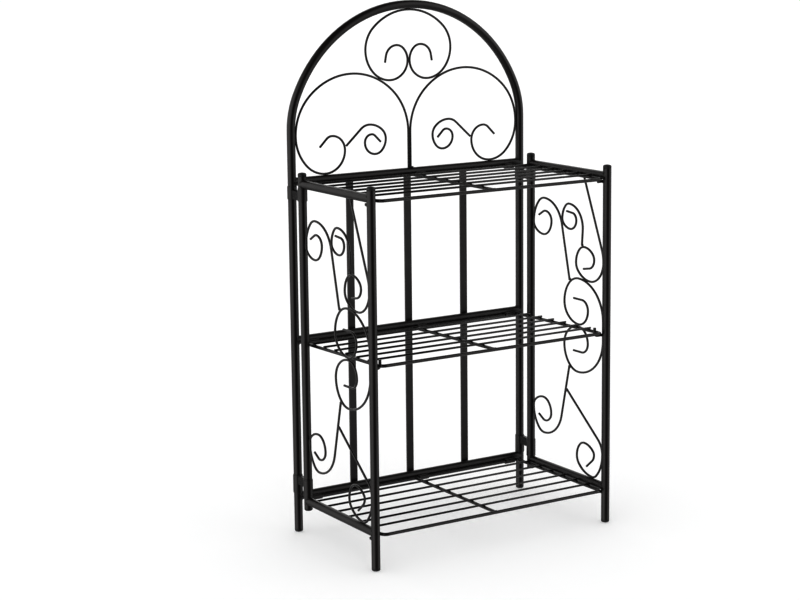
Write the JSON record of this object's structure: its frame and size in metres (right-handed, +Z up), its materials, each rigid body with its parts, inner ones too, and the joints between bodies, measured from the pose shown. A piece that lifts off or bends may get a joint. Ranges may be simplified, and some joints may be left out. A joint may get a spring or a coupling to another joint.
{
  "type": "plant stand",
  "caption": "Freestanding plant stand of black tube and wire: arched back frame with scrollwork, hinged side panels with scrolls, and wire shelves that hinge on the back rails.",
  "frame": {"origin": "on the floor under the middle of the stand's footprint", "axes": "+X across the width, to the right as seen from the open front; +Y from the open front to the arched back; +Z up"},
  "size_m": [0.445, 0.25, 0.8299],
  "materials": {
    "tube": "satin black powder coat on steel tube",
    "wire": "satin black powder coat on steel wire",
    "plug": "matt black moulded plug"
  },
  "bodies": {
    "back_frame": {"arch_tube": "tube", "left_arch_foot": "plug", "right_arch_foot": "plug", "back_top_rail": "tube", "back_middle_rail": "tube", "back_bottom_rail": "tube", "left_flat_bar": "tube", "centre_flat_bar": "tube", "right_flat_bar": "tube", "crown_scroll": "wire", "left_large_scroll": "wire", "right_large_scroll": "wire", "left_small_scroll": "wire", "right_small_scroll": "wire", "left_upper_hinge_strap": "tube", "left_lower_hinge_strap": "tube", "right_upper_hinge_strap": "tube", "right_lower_hinge_strap": "tube", "top_shelf_hinge_sleeves": "tube", "middle_shelf_hinge_sleeves": "tube", "bottom_shelf_hinge_sleeves": "tube"},
    "left_panel": {"left_rear_leg": "tube", "left_front_leg": "tube", "left_panel_top_rail": "tube", "left_panel_bottom_rail": "tube", "left_upper_rear_scroll": "wire", "left_inner_scroll": "wire", "left_upper_front_scroll": "wire", "left_long_scroll": "wire", "left_lower_rear_scroll": "wire", "left_lower_front_scroll": "wire", "left_shelf_pegs": "tube", "left_leg_caps": "plug", "left_front_foot": "plug", "left_rear_leg_plug": "plug"},
    "right_panel": {"right_rear_leg": "tube", "right_front_leg": "tube", "right_panel_top_rail": "tube", "right_panel_bottom_rail": "tube", "right_upper_rear_scroll": "wire", "right_inner_scroll": "wire", "right_upper_front_scroll": "wire", "right_long_scroll": "wire", "right_lower_rear_scroll": "wire", "right_lower_front_scroll": "wire", "right_shelf_pegs": "tube", "right_leg_caps": "plug", "right_front_foot": "plug", "right_rear_leg_plug": "plug"},
    "top_shelf": {"top_shelf_frame": "wire", "top_shelf_cross_wires": "wire", "top_shelf_brace": "wire"},
    "middle_shelf": {"middle_shelf_frame": "wire", "middle_shelf_cross_wires": "wire", "middle_shelf_brace": "wire"},
    "bottom_shelf": {"bottom_shelf_frame": "wire", "bottom_shelf_cross_wires": "wire", "bottom_shelf_brace": "wire"}
  },
  "joints": [
    {"name": "left_panel_hinge", "type": "hinge", "parent": "back_frame", "child": "left_panel", "pos_m": [-0.215, 0.083, 0.3], "axis": [0, 0, -1], "range_deg": [0, 90]},
    {"name": "right_panel_hinge", "type": "hinge", "parent": "back_frame", "child": "right_panel", "pos_m": [0.215, 0.083, 0.3], "axis": [0, 0, 1], "range_deg": [0, 90]},
    {"name": "top_shelf_hinge", "type": "hinge", "parent": "back_frame", "child": "top_shelf", "pos_m": [0, 0.10579, 0.554], "axis": [-1, 0, 0], "range_deg": [0, 88]},
    {"name": "middle_shelf_hinge", "type": "hinge", "parent": "back_frame", "child": "middle_shelf", "pos_m": [0, 0.10579, 0.305], "axis": [-1, 0, 0], "range_deg": [0, 88]},
    {"name": "bottom_shelf_hinge", "type": "hinge", "parent": "back_frame", "child": "bottom_shelf", "pos_m": [0, 0.10579, 0.054], "axis": [-1, 0, 0], "range_deg": [0, 88]}
  ]
}
